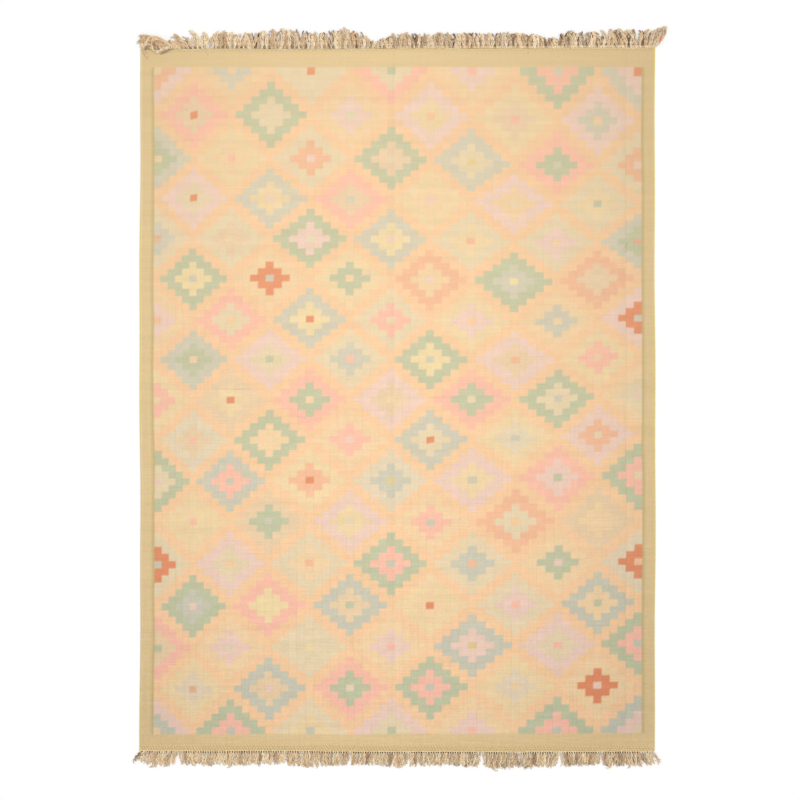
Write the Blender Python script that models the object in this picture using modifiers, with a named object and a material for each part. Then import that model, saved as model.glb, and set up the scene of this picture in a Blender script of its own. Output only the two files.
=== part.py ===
"""A flat-woven kilim rug laid flat, with a knotted fringe of warp ends at each short side.

The field, its borders and the selvedges are one woven cloth. At each end the warps are bound in a narrow
twined strip and leave it as knotted strands that lie on the floor.

+X runs across the rug, +Y along it and +Z up. The origin is on the floor, at the middle of the rug with
its fringes. Sizes below are in millimetres and places are measured from the middle of the cloth.
"""

import math
import random
from collections import namedtuple

import bmesh
import bpy
from mathutils import Vector

MM = 0.001

# Cloth
WIDTH = 2440
LENGTH = 3330  # from one knot line to the other
THICKNESS = 4
STRIP_DEPTH = 16  # the twined rows that hold the knots, at each end
SEAM_GAP = 0.3  # between the cloth and each twined strip
PLAIN_CELLS_ACROSS = 14
PLAIN_CELLS_ALONG = 20
FLAT_END = 70  # the cloth lies flat this near its ends
SETTLING_LENGTH = 130  # and takes up its folds over this length

# Each fold is a low ridge with rounded sides. It runs along X or Y, so many millimetres from the middle.
Fold = namedtuple("Fold", "runs_along distance start end half_width lift")
FOLDS = (
    Fold("Y", -20, -1700, 1700, 26, 2.0),  # the long fold down the middle
    Fold("Y", 1082, -1700, 1700, 20, 1.4),  # the fold near the right side
    Fold("X", 1432, -1250, 1250, 24, 1.2),  # across the top
    Fold("X", -1360, -1250, 1250, 22, 1.0),  # across the foot
    Fold("X", 50, -961, -582, 16, 1.6),  # a short crease left of the middle
)

# Broad low places where the cloth doesn't quite lie flat
Rise = namedtuple("Rise", "x y reach_x reach_y lift")
RISES = (
    Rise(-830, 760, 260, 430, 2.0),
    Rise(-560, 330, 230, 320, 1.6),
    Rise(420, 1150, 320, 240, 1.4),
    Rise(900, 640, 200, 460, 1.8),
    Rise(640, -520, 330, 360, 1.5),
    Rise(-880, -900, 260, 330, 1.6),
    Rise(-330, -1050, 260, 260, 1.2),
    Rise(300, 260, 280, 330, 1.2),
)

# How far the outline wanders outwards from a straight line
Wave = namedtuple("Wave", "height length phase")
WANDER = {
    "left": (Wave(2.4, 2100, 0.6), Wave(1.1, 740, 2.0)),
    "right": (Wave(2.0, 2600, 2.4), Wave(1.2, 820, 0.3)),
    "top": (Wave(3.0, 5200, 0.0), Wave(1.1, 900, 1.1)),
    "bottom": (Wave(2.4, 2600, 0.39), Wave(0.9, 760, 2.6)),
}

# Fringe: how far the strands reach, and how far their tips lean to the right, along the width
Stretch = namedtuple("Stretch", "across reach lean")
FRINGES = {
    "top": (
        Stretch(-1220, 68, -36),
        Stretch(-1100, 58, -26),
        Stretch(-1000, 52, -20),
        Stretch(-930, 72, -4),
        Stretch(-740, 76, 2),
        Stretch(-490, 97, 3),
        Stretch(-380, 82, 0),
        Stretch(-260, 97, -2),
        Stretch(-175, 82, 3),
        Stretch(-115, 28, 2),
        Stretch(-60, 56, -1),
        Stretch(0, 72, 0),
        Stretch(340, 76, -3),
        Stretch(600, 72, 2),
        Stretch(750, 46, -2),
        Stretch(800, 80, 4),
        Stretch(900, 76, 4),
        Stretch(1080, 89, 0),
        Stretch(1180, 86, 6),
        Stretch(1220, 98, 44),
    ),
    "bottom": (
        Stretch(-1220, 60, -36),
        Stretch(-1140, 68, -16),
        Stretch(-1080, 78, -6),
        Stretch(-1000, 68, 3),
        Stretch(-740, 77, 0),
        Stretch(-620, 65, 2),
        Stretch(-460, 78, 0),
        Stretch(-170, 68, -2),
        Stretch(60, 75, 0),
        Stretch(190, 68, 2),
        Stretch(460, 84, 2),
        Stretch(640, 79, -2),
        Stretch(960, 69, 2),
        Stretch(1020, 77, 0),
        Stretch(1100, 70, 4),
        Stretch(1170, 75, 10),
        Stretch(1220, 62, 42),
    ),
}
STRAND_COUNTS = {"top": 132, "bottom": 168}
END_STRAND_INSET = 8  # from the middle of the last strand to the side of the cloth
ROOT_HALF_WIDTH = 2.8
FLAT_ANGLE = math.radians(0.1)  # faces that meet at less than this are one flat face

# Sections of a strand. Each lies past the knot line by its own distance and a share of what the strand
# reaches beyond its knot. Half its width is a share of the strands' pitch.
Section = namedtuple("Section", "past_line share_beyond half_width height")
KNOT_LENGTH = 11
STRAND_SECTIONS = (
    Section(5, 0.0, 0.28, 7.0),  # the middle of the knot
    Section(KNOT_LENGTH, 0.0, 0.20, 4.2),  # its end
    Section(KNOT_LENGTH, 0.55, 0.31, 4.4),  # the loose yarns spread
    Section(KNOT_LENGTH, 1.0, 0.24, 2.4),  # the tip
)
TOP_SHARE_OF_WIDTH = 0.72  # a strand is narrower along its top than on the floor

# The strands gather into clumps: waves that draw the tips sideways, then a small scatter
CLUMPS = (Wave(5.0, 170, 0.4), Wave(1.5, 93, 1.7))
TIP_SCATTER = 0.8
REACH_SCATTER = 0.05
CURL = 2.0
CURL_LENGTH = 260  # along the fringe, from one bend to the next like it
SCATTER_SEED = 61

# The middle of the cloth, seen from the middle of the whole rug with its fringes
CLOTH_CENTRE_X = -4.8
CLOTH_CENTRE_Y = -7.2

COLLECTION_NAME = "kilim_rug"


def clear_scene():
    for old in list(bpy.data.objects):
        bpy.data.objects.remove(old, do_unlink=True)


def wander(side, place):
    """How far the outline stands out from straight at a place along that side."""
    return sum(w.height * math.sin(2 * math.pi * place / w.length + w.phase) for w in WANDER[side])


def ease(value):
    """0 to 1 with soft ends."""
    value = min(max(value, 0.0), 1.0)
    return value * value * (3 - 2 * value)


def fold_lift(fold, x, y):
    aside, along = (x, y) if fold.runs_along == "Y" else (y, x)
    off = abs(aside - fold.distance) / fold.half_width
    if off >= 1 or not fold.start <= along <= fold.end:
        return 0.0
    from_end = min(along - fold.start, fold.end - along)
    return fold.lift * math.cos(off * math.pi / 2) ** 2 * ease(from_end / SETTLING_LENGTH)


def rise_lift(rise, x, y):
    off = math.hypot((x - rise.x) / rise.reach_x, (y - rise.y) / rise.reach_y)
    return rise.lift * ease(1 - off)


def lift(x, y):
    """How high the underside of the cloth stands off the floor."""
    height = sum(fold_lift(fold, x, y) for fold in FOLDS)
    height += sum(rise_lift(rise, x, y) for rise in RISES)
    from_end = LENGTH / 2 - abs(y)
    return height * ease((from_end - FLAT_END) / SETTLING_LENGTH)


def stations(start, end, cells, runs_along, extra=()):
    """Grid lines from start to end: even ones, and five across each fold that runs the other way."""
    lines = {round(start + (end - start) * i / cells, 3) for i in range(cells + 1)}
    keep_clear = (end - start) / cells / 4
    for fold in FOLDS:
        if fold.runs_along == runs_along:
            close = {fold.distance + step * fold.half_width for step in (-1, -0.5, 0, 0.5, 1)}
            lines = {
                line for line in lines
                if line in (start, end) or abs(line - fold.distance) > fold.half_width + keep_clear
            }
            lines |= close
    return sorted(lines | set(extra))


def new_collection():
    collection = bpy.data.collections.new(COLLECTION_NAME)
    bpy.context.scene.collection.children.link(collection)
    return collection


def linear_from_hex(colour):
    """A linear RGBA colour from an sRGB hex value."""
    channels = [int(colour[i:i + 2], 16) / 255 for i in (1, 3, 5)]
    linear = [c / 12.92 if c <= 0.04045 else ((c + 0.055) / 1.055) ** 2.4 for c in channels]
    return (*linear, 1.0)


def yarn_material(name, colour, roughness):
    material = bpy.data.materials.new(name)
    material.use_nodes = True
    shader = material.node_tree.nodes["Principled BSDF"]
    shader.inputs["Base Color"].default_value = linear_from_hex(colour)
    shader.inputs["Roughness"].default_value = roughness
    shader.inputs["Metallic"].default_value = 0.0
    return material


def add_object(name, bm, collection, material):
    mesh = bpy.data.meshes.new(name)
    bm.to_mesh(mesh)
    bm.free()
    mesh.materials.append(material)
    obj = bpy.data.objects.new(name, mesh)
    obj.location = (CLOTH_CENTRE_X * MM, CLOTH_CENTRE_Y * MM, 0.0)
    collection.objects.link(obj)
    return obj


def grid_on(xs, ys):
    """A flat grid whose lines lie at the given places, in millimetres."""
    bm = bmesh.new()
    bmesh.ops.create_grid(bm, x_segments=len(xs) - 1, y_segments=len(ys) - 1, size=0.5)
    for vert in bm.verts:
        column = round((vert.co.x + 0.5) * (len(xs) - 1))
        row = round((vert.co.y + 0.5) * (len(ys) - 1))
        vert.co = Vector((xs[column], ys[row], 0.0))
    return bm


def spread_to_sides(x, y):
    """The place across of a point of the cloth, once its two long sides wander."""
    share = x / WIDTH + 0.5
    return x + share * wander("right", y) - (1 - share) * wander("left", y)


def build_cloth(collection, material):
    """The woven cloth: its underside with folds, thickened upwards."""
    half_length = LENGTH / 2 - STRIP_DEPTH - SEAM_GAP
    near_end = LENGTH / 2 - FLAT_END
    xs = stations(-WIDTH / 2, WIDTH / 2, PLAIN_CELLS_ACROSS, "Y")
    ys = stations(-half_length, half_length, PLAIN_CELLS_ALONG, "X", extra=(-near_end, near_end))
    bm = grid_on(xs, ys)
    for vert in bm.verts:
        x, y = vert.co.x, vert.co.y
        vert.co = Vector((spread_to_sides(x, y), y, lift(x, y))) * MM
    cloth = add_object("rug_cloth", bm, collection, material)
    thick = cloth.modifiers.new("thickness", "SOLIDIFY")
    thick.thickness = THICKNESS * MM
    thick.offset = 1.0
    return cloth


def stretch_at(side, across):
    """Reach and lean of the fringe at a place across, read between the rows of its table."""
    rows = FRINGES[side]
    for left, right in zip(rows, rows[1:]):
        if across <= right.across:
            break
    share = ease((across - left.across) / (right.across - left.across))
    reach = left.reach + (right.reach - left.reach) * share
    lean = left.lean + (right.lean - left.lean) * share
    return reach, lean


def strand_places(count):
    first = -WIDTH / 2 + END_STRAND_INSET
    pitch = (WIDTH - 2 * END_STRAND_INSET) / (count - 1)
    return [first + pitch * i for i in range(count)]


def build_strip(side, places):
    """The twined strip as a closed slab, with a face on its outer side for the root of each strand."""
    roots = [place + step for place in places for step in (-ROOT_HALF_WIDTH, ROOT_HALF_WIDTH)]
    outwards = 1 if side == "top" else -1
    outer = outwards * LENGTH / 2
    inner = outwards * (LENGTH / 2 - STRIP_DEPTH)
    xs = [-WIDTH / 2, *roots, WIDTH / 2]
    bm = grid_on(xs, sorted((inner, outer)))
    for vert in bm.verts:
        x, y = vert.co.x, vert.co.y
        vert.co.x = spread_to_sides(x, inner) if abs(x) == WIDTH / 2 else x
        vert.co.y = y + outwards * wander(side, x) if y == outer else y
    lower = list(bm.faces)
    raised = bmesh.ops.extrude_face_region(bm, geom=lower)["geom"]
    upper_verts = [item for item in raised if isinstance(item, bmesh.types.BMVert)]
    bmesh.ops.translate(bm, verts=upper_verts, vec=(0, 0, THICKNESS))
    bmesh.ops.recalc_face_normals(bm, faces=bm.faces)
    return bm


def join_flat_faces(bm):
    """Makes the strip's underside, top and inner side one face each."""
    inner = LENGTH / 2 - STRIP_DEPTH
    outer_verts = {vert for vert in bm.verts if abs(vert.co.y) > inner + STRIP_DEPTH / 4}
    spare = [
        edge for edge in bm.edges
        if edge.calc_face_angle() < FLAT_ANGLE and not set(edge.verts) <= outer_verts
    ]
    bmesh.ops.dissolve_edges(bm, edges=spare, use_verts=True)


def root_faces(bm, side, places):
    """The faces that the strands grow from, left to right."""
    outwards = 1 if side == "top" else -1
    faces = {}
    for face in bm.faces:
        middle = face.calc_center_median()
        if face.normal.y * outwards > 0.5:
            near = min(places, key=lambda place: abs(place - middle.x))
            if abs(near - middle.x) < ROOT_HALF_WIDTH / 2:
                faces[near] = face
    return [faces[place] for place in places]


def set_section(face, middle, along, half_width, height):
    """Moves the four corners of a strand's end face to its next section."""
    centre = face.calc_center_median()
    aside = Vector((along.y, -along.x, 0.0)).normalized()
    for vert in face.verts:
        to_side = 1 if (vert.co - centre).dot(aside) > 0 else -1
        is_top = vert.co.z > centre.z
        width = half_width * (TOP_SHARE_OF_WIDTH if is_top else 1.0)
        vert.co = middle + aside * to_side * width
        vert.co.z = height if is_top else 0.0


def strand_shape(side, place, rng):
    """Reach, sideways move of the tip and sideways bend of the strand at a place across."""
    reach, lean = stretch_at(side, place)
    reach *= 1 + rng.uniform(-REACH_SCATTER, REACH_SCATTER)
    gather = sum(w.height * math.sin(2 * math.pi * place / w.length + w.phase) for w in CLUMPS)
    aside = lean + gather + rng.uniform(-TIP_SCATTER, TIP_SCATTER)
    bend = CURL * math.sin(2 * math.pi * place / CURL_LENGTH)
    return reach, aside, bend


def draw_out_strands(bm, side, places):
    """Extrudes each root face into a knot and a strand that rests level on the floor."""
    rng = random.Random(SCATTER_SEED)
    outwards = 1 if side == "top" else -1
    pitch = places[1] - places[0]
    tips = root_faces(bm, side, places)
    starts = [face.calc_center_median() for face in tips]
    shapes = [strand_shape(side, place, rng) for place in places]
    for section in STRAND_SECTIONS:
        grown = bmesh.ops.extrude_discrete_faces(bm, faces=tips)["faces"]
        tips = sorted(grown, key=lambda face: face.calc_center_median().x)
        for face, start, (reach, aside, bend) in zip(tips, starts, shapes):
            out = section.past_line + section.share_beyond * (reach - KNOT_LENGTH)
            share = out / reach
            across = aside * share ** 1.5 + bend * math.sin(math.pi * share)
            along = Vector((aside * 1.5 * share ** 0.5, outwards * reach, 0.0))
            middle = start + Vector((across, outwards * out, 0.0))
            set_section(face, middle, along, section.half_width * pitch, section.height)


def build_fringe(name, side, collection, material):
    places = strand_places(STRAND_COUNTS[side])
    bm = build_strip(side, places)
    draw_out_strands(bm, side, places)
    join_flat_faces(bm)
    bmesh.ops.scale(bm, verts=bm.verts, vec=(MM, MM, MM))
    return add_object(name, bm, collection, material)


def main():
    clear_scene()
    collection = new_collection()
    woven = yarn_material("flat_woven_cotton", "#F3CFA0", 0.9)
    warp_ends = yarn_material("cotton_warp_ends", "#D4B68C", 0.92)
    build_cloth(collection, woven)
    build_fringe("fringe_top", "top", collection, warp_ends)
    build_fringe("fringe_bottom", "bottom", collection, warp_ends)


main()
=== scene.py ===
"""A flat-woven kilim rug, laid flat on a pale studio floor and seen from straight above.

Its cloth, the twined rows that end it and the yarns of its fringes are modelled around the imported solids.
Sizes are in millimetres and places are measured from the middle of the cloth, as in the part's own source,
unless a comment says otherwise. +X runs across the rug, +Y along it and +Z up.
"""

import math
import random
from bisect import bisect
from collections import namedtuple

import bmesh
import bpy
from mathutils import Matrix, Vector, noise


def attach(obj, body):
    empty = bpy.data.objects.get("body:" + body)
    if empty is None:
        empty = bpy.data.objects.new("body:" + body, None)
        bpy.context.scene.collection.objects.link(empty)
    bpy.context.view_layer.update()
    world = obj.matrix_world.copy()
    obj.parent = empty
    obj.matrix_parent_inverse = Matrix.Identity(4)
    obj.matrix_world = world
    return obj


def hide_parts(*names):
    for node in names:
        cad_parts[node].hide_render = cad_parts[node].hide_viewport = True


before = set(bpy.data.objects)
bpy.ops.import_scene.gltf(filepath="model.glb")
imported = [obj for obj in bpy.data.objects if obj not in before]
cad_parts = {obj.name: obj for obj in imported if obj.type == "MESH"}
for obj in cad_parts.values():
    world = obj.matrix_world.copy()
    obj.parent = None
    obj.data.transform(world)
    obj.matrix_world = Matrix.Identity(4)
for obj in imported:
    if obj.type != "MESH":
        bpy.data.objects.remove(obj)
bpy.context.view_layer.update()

MM = 0.001

# Cloth, with the sizes, folds and outline of its solid
WIDTH = 2440
LENGTH = 3330  # from one knot line to the other
THICKNESS = 4
FLAT_END = 70  # the cloth lies flat this near its ends
SETTLING_LENGTH = 130  # and takes up its folds over this length
SHARP_EDGE = 55  # degrees
CLOTH_CENTRE = Vector((-4.8, -7.2, 0.0))  # in the row's frame

Fold = namedtuple("Fold", "runs_along distance start end half_width lift")
FOLDS = (
    Fold("Y", -20, -1700, 1700, 26, 2.0),  # the long fold down the middle
    Fold("Y", 1082, -1700, 1700, 20, 1.4),  # the fold near the right side
    Fold("X", 1432, -1250, 1250, 24, 1.2),  # across the top
    Fold("X", -1360, -1250, 1250, 22, 1.0),  # across the foot
    Fold("X", 50, -961, -582, 16, 1.6),  # a short crease left of the middle
)
FOLD_LINE_SHARES = (-1, -0.6, -0.3, 0, 0.3, 0.6, 1)  # grid lines over a fold, in half widths

Rise = namedtuple("Rise", "x y reach_x reach_y lift")
RISES = [Rise(*row) for row in (
    (-830, 760, 260, 430, 2.0), (-560, 330, 230, 320, 1.6), (420, 1150, 320, 240, 1.4),
    (900, 640, 200, 460, 1.8), (640, -520, 330, 360, 1.5), (-880, -900, 260, 330, 1.6),
    (-330, -1050, 260, 260, 1.2), (300, 260, 280, 330, 1.2),
)]

Wave = namedtuple("Wave", "height length phase")
WANDER = {
    "left": (Wave(2.4, 2100, 0.6), Wave(1.1, 740, 2.0)),
    "right": (Wave(2.0, 2600, 2.4), Wave(1.2, 820, 0.3)),
    "top": (Wave(3.0, 5200, 0.0), Wave(1.1, 900, 1.1)),
    "bottom": (Wave(2.4, 2600, 0.39), Wave(0.9, 760, 2.6)),
}

# The pattern is woven in blocks. Medallions stand on these lines, five blocks apart across the rug and six
# along it, and the weaver's beat has spaced them unevenly.
BLOCKS_ACROSS = 5
BLOCKS_ALONG = 6
MEDALLION_COLUMNS = (-1137, -966, -786, -601, -412, -224, -28, 157, 347, 555, 759, 948, 1138)
UPPER_ROWS = (1559, 1350, 1143, 955, 763, 572, 376, 192)
LOWER_ROW_PITCH = 195.7
LOWER_ROW_COUNT = 9
OUTER_STEPS = 4  # blocks from a medallion's middle to the tip of its outer band
INNER_STEPS = 2  # and to the tip of its inner diamond
CELLS_A_BLOCK = 2
SOFT_EDGE = 4  # neighbouring yarns mingle this far on either side of the edge between their blocks
BORDER_CELL = 16
LEAST_CELL = 2
SELVEDGE = (  # inset, height
    (0.0, 1.8), (1.0, 3.5), (3.5, 4.6), (6.0, 4.3), (8.0, 3.6), (11.5, 3.9), (15.0, 4.0),
)
SELVEDGE_YARNS = ((7.0, "selvedge"), (12.5, "selvedge pair"))  # how far in each reaches
FIELD_RIM = 6  # a line of darker border yarn beside the field
END_BAND_DEPTH = 24
END_RIM = (0, 2, END_BAND_DEPTH)
HAND_DRIFT = (3.0, 190)  # how far, and over what length, the blocks' edges wander
HAND_JITTER = (1.2, 24)
WEAVE_SEED = 29  # without it the blocks' edges would wander differently at each run
STRAIGHT_RIM = 10  # nothing wanders this near the cloth's outline
STRAIGHT_FADE = 60  # and everything does, this much farther in
COCKLE = (0.35, 45)  # small unevenness of the cloth's face

# The cloth on its map, as shares of the map: where each strip starts and how wide it is
MAP_MARGIN = 0.01
TOP_STRIP = (0.01, 0.735)
UNDERSIDE_STRIP = (0.765, 0.22)
WALL_SHIFT = 0.003  # the foot of a wall lies this far outside

# How far uneven beating has carried the pattern towards the foot, at heights down the rug and places across
BEAT_PLACES = (-1150, -330, 170, 660, 1100)
BEAT = (
    (1586, (0, 0, 0, 2, 4)),
    (1467, (0, 0, 7, 24, 30)),
    (1207, (3, 0, 10, 35, 38)),
    (922, (0, 3, 10, 29, 29)),
    (543, (0, -5, 3, 14, -7)),
    (164, (3, -3, 1, 4, -16)),
    (-26, (1, -5, -4, -5, -28)),
    (-310, (-4, -12, -12, -29, -42)),
    (-594, (-10, -15, -9, -14, -20)),
    (-950, (0, -9, -8, -14, -21)),
    (-1377, (3, -7, -13, -17, -22)),
    (-1586, (2, 0, -4, -5, -6)),
)

# And how far the warps lean to the right
LEAN_PLACES = (-1150, -820, -560, -330, 170, 410, 660, 1150)
LEAN = (
    (1586, (0, 0, 0, 0, 0, 5, 5, 0)),
    (922, (0, -4, -5, 0, -3, 0, -4, 0)),
    (0, (0, -4, -5, -2, -4, 2, 0, 0)),
    (-400, (0, -10, -13, -5, -5, 5, 0, 0)),
    (-1200, (0, -12, -14, -5, -4, 8, 2, 0)),
    (-1586, (0, -2, -5, 3, 0, 8, -4, 0)),
)

# Places where the weave is askew: the middle, how far it reaches, and how much its right side rises
Skew = namedtuple("Skew", "x y reach slope")
SKEWS = [Skew(*row) for row in (
    (-966, 1350, 42, 0.22), (-970, 960, 42, 0.12), (-28, 376, 42, 0.18), (157, -195, 42, 0.16),
)]
SKEW_END = 1.8  # a skew has died away at this many times its reach

# Cotton yarns as they look at the head of the rug and at its foot, which the sun has faded less
YARNS = {
    "A": ("#F8CFA2", "#FDD1A4"),  # peach, the ground
    "B": ("#E0D2B4", "#CDCBB7"),  # blue-grey
    "C": ("#F4D3A6", "#F8D7AA"),  # ecru
    "E": ("#E9DAB4", "#EBD6B8"),  # grey mint
    "G": ("#D1CCA6", "#C6C9A7"),  # sage green
    "J": ("#F2D9A9", "#F6DDA9"),  # straw yellow
    "K": ("#E9D299", "#E6CE95"),  # olive
    "L": ("#F3D2BA", "#F3D1BF"),  # lilac
    "M": ("#EDD6AE", "#EDD8B3"),  # pale mint
    "O": ("#F9C8A1", "#F9C8A1"),  # salmon
    "P": ("#FCC6A8", "#FFC3AC"),  # pink
    "Q": ("#F4C29B", "#FBC19D"),  # deep salmon
    "R": ("#ECBB96", "#ECBB96"),  # pale rust
    "S": ("#EEA57C", "#E99269"),  # rust
    "T": ("#EFD1AB", "#EFD2AA"),  # tan
    "Y": ("#F2D6A8", "#F5D9AA"),  # pale yellow
    "border": ("#E8CC9A", "#E8CC9A"),
    "field rim": ("#D3BD86", "#CFB984"),
    "selvedge": ("#F2E084", "#E9D592"),
    "selvedge pair": ("#EDCBA0", "#EDCBA0"),
    "end band": ("#E2C690", "#E2C690"),
}

# The medallions, row by row from the top, each as its outer band, inner diamond and eye
YARN_CHART = (
    "LQY CBC MMS PMG CLP GPB BLS",
    "PTS GMM CLE LYO YTP LBC",
    "BGY YCP MQL GTM BMK PGB MQL",
    "LMS BYL PTB YCL LCM MYG",
    "MBR MTY GLE BJL MYQ MLC BGR",
    "GJB CSB YGC QCL GBJ QTM",
    "CLO PMA BJS MPM YLA CBY LSB",
    "BGC LMG MBP GJB LTQ YPC",
    "YPY TYS PGC LTY PGM GMB CML",
    "ETP GCY CPL BMS YEB LQM",
    "GML BPB YQS EBK LYB PLG GPM",
    "YYP TGB LYE CPB QMA TCY",
    "MSB LMA MCQ GPB MBQ CGL ESO",
    "GBL PJJ BTG YCS MLP BCG",
    "PTG CLE MMJ CLP BLK LMP GPB",
    "YER BTL PGE GPB YEC CSL",
    "LBT GPB MYB LMG CLP GPB BLM",
)
DYE_SPREAD = 0.018  # each block's yarn is this much lighter or darker than the next
DYE_SEED = 17

# The cloth is lightest about this place, and darker towards its sides and ends by these shares
LIGHTEST_PLACE = (-140, 465)
FALLOFF_SHARES = (1.0, 0.72)
FARTHEST = (2.0, 0.74)  # at this squared distance, in half rugs, it keeps this share of its lightness

# Stains and sharp short creases: middle, half length, half width, turn in degrees and strength
Mark = namedtuple("Mark", "x y half_length half_width turn strength")
STAINS = [Mark(*row) for row in (
    (-1003, 1373, 9, 7, 0, 0.5), (-79, 1524, 7, 5, 0, 0.35), (-454, 1354, 9, 4, 60, 0.4),
    (1083, 732, 34, 7, 65, 0.35), (1078, 700, 20, 6, 35, 0.3), (618, 1642, 10, 5, 70, 0.6),
    (760, 1623, 14, 6, 20, 0.22), (210, -1083, 6, 5, 0, 0.4), (390, -296, 7, 5, 0, 0.45),
    (-94, 1570, 8, 5, 0, 0.4), (-70, 1085, 60, 40, 20, 0.06), (-905, 1640, 34, 4, -60, 0.3),
)]
CREASES = [Mark(*row) for row in (
    (-830, 766, 90, 6, -55, 0.6), (-578, 352, 120, 6, -60, 0.55), (1030, 1000, 60, 7, 60, 0.55),
    (-1120, 930, 110, 7, 68, 0.45), (-759, 50, 190, 5, 0, 0.9), (1050, 780, 70, 6, 62, 0.4),
    (960, -620, 80, 7, 30, 0.3),
)]
STAIN_BROWN = "#8A6238"
# How much the sharp short creases darken the cloth's colour: painted shade
CREASE_SHADE = 0.09
CREASE_RELIEF = 6.0  # against the weave's own
RAGGED_RIM = 8  # how far the rims of marks stray
RIM_NOISE_SCALE = 60.0
# A darker line along each fold: painted shade in the crease, and dirt
FOLD_SHADE_AND_DIRT = 0.035
FOLD_SHADE_SHARPNESS = 3  # the painted shade and dirt end after one part in this many of a half width

# The weave's streaks: their lengths along X, Y and Z, and what they run between
Streaks = namedtuple("Streaks", "lengths low high")
GRAIN = (
    Streaks((150, 5, 5), 0.972, 1.028),  # along the wefts
    Streaks((7, 260, 260), 0.982, 1.018),  # along the warps
    Streaks((11, 9, 9), 0.975, 1.025),  # mottling
)
YARN_BATCHES = Streaks((900, 40, 40), 0.975, 1.025)
DYE_TURNS = Streaks((30, 7, 7), 0.0, 1.0)
YELLOWER = (1.0, 1.006, 0.94, 1.0)
PINKER = (1.0, 0.992, 1.06, 1.0)
GRAIN_AT_HEAD = 0.55  # against its usual strength
GRAIN_AT_FOOT = 1.6
SLIT_WIDTHS = (0.015, 0.065)  # how far a slit is dark and where its dark ends, in blocks
SLIT_DARKNESS = (0.02, 0.085)  # at the head and at the foot
SLIT_PATCHES = Streaks((25, 130, 25), 0.0, 1.2)

# Relief of the weave: its ribs and its wefts are drawn coarser than the real ones, so that they show
RIB_PITCH = 5.4
WAVE_PITCH = 0.314  # of the wave texture at a scale of 1, in metres
RIB_DISTORTION = 0.6
WEFTS = Streaks((60, 2.4, 2.4), 0.0, 1.0)

# Fringe yarns: their grime and their hairiness
GRIME = Streaks((5, 5, 5), 0.85, 1.12)
FIBRES = Streaks((1.5, 1.5, 1.5), 0.0, 1.0)

# Fringe: places across, how far its locks reach there, and how far their tips lean to the right
FRINGES = {
    "top": (
        (-1220, 62, -6), (-1170, 66, -40), (-1150, 66, -50), (-1110, 48, -56), (-1080, 62, -58),
        (-1045, 42, -58), (-1022, 72, -60), (-1006, 54, -56), (-990, 66, -50), (-972, 44, -40),
        (-950, 80, -20), (-925, 66, -6), (-912, 84, -2), (-888, 68, 0), (-850, 80, 0), (-740, 76, 2),
        (-490, 97, 3), (-380, 82, 0), (-260, 97, -2), (-175, 82, 3), (-115, 28, 2), (-60, 56, -1),
        (0, 72, 0), (340, 76, -3), (600, 72, 2), (750, 46, -2), (800, 80, 4), (900, 76, 4), (1080, 89, 0),
        (1180, 86, 12), (1220, 98, 44),
    ),
    "bottom": (
        (-1220, 58, -30), (-1140, 68, -16), (-1080, 78, -6), (-1000, 68, 3), (-740, 77, 0), (-620, 65, 2),
        (-460, 78, 0), (-170, 68, -2), (60, 75, 0), (190, 68, 2), (460, 84, 2), (640, 79, -2),
        (960, 69, 2), (1020, 77, 0), (1100, 70, 4), (1170, 75, 10), (1220, 62, 42),
    ),
}

# How the yarns of each fringe lie, with angles in radians. Locks pull together and cross, over a mat of loose
# yarns. Each has some yarns over one another, as wide as its neck and then its rope. They are uneven in
# length (shortest, ragged). Tones vary in a lock (mingled) and between locks (patchy).
# Painted shade and dirt darken the loose mat, the roots and the locks.
FringeStyle = namedtuple(
    "FringeStyle",
    "locks groups pull cross mat mat_width mat_soil root_soil root_drift over shortest ragged bend wave hook"
    " hooked_share neck rope flare kink yarn mingled patchy soil seed",
)
FRINGE_STYLES = {
    "top": FringeStyle(
        locks=112, groups=(1, 2, 2, 3), pull=0.55, cross=8, mat=560, mat_width=1.5, mat_soil=0.5,
        root_soil=(0.0, 0.75), root_drift=-0.8, over=9, shortest=0.9, ragged=0.24, bend=0.5, wave=0.4,
        hook=1.5, hooked_share=0.4, neck=2.2, rope=6.2, flare=1.3, kink=1.1, yarn=2.4, mingled=0.4,
        patchy=0.05, soil=0.2, seed=23,
    ),
    "bottom": FringeStyle(
        locks=212, groups=(1, 1, 2, 3), pull=0.4, cross=3, mat=620, mat_width=1.4, mat_soil=0.45,
        root_soil=(0.85, 1.0), root_drift=-0.3, over=5, shortest=0.72, ragged=0.14, bend=0.4, wave=0.25,
        hook=1.6, hooked_share=0.3, neck=1.0, rope=4.4, flare=4.6, kink=1.7, yarn=1.85, mingled=1.0,
        patchy=0.18, soil=0.22, seed=41,
    ),
}
END_LOCK_INSET = 8
KNOT_REACH = 6  # from the knot line to where the yarns leave the knot
YARN_FLATNESS = 0.78  # two plies side by side are wider than they are high
YARN_SIDES = 4
YARN_SECTIONS = 14
ROUTE_STATIONS = 14
LEAST_SPREAD = 0.72  # a lock so bent that it spreads over less of its stations than this stays shorter
NECK_SHARE = 0.02  # of a yarn's length lies between its root and its second section
ROOT_DEPTH = 1.5  # a yarn starts this far inside the cloth
GROUP_STRAY = 4
LOCK_LENGTHS = (0.94, 1.04)  # a pair is the least and the most, here and below
STRENGTHS = (0.5, 1)  # of waves and hooks
WAVE_TURNS = (0.8, 1.6)
WAVE_ONSET = 3  # waves reach their height after one part in this many of a lock
BEND_PIVOT = 0.4
HOOK_START = 0.62
HOOK_SHARPNESS = 1.5
KINK_TURNS = (1.5, 3.4)
KINK_SIZES = (0.6, 1.3)
KINK_ONSET = 4
ALMOST_ALL = 0.9999  # of a line, so that a place on it comes before its last point
STEP_SHARE = 0.04  # of a line, on either side of a place where its direction is measured
YARN_PHASES = (-0.4, 0.4)
YARN_TWISTS = (0.5, 1.1)
SWELL_ONSET = 6  # a lock reaches its full width after one part in this many
TIP_SHARPNESS = 5
FLARE_SHARPNESS = 1.5
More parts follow.
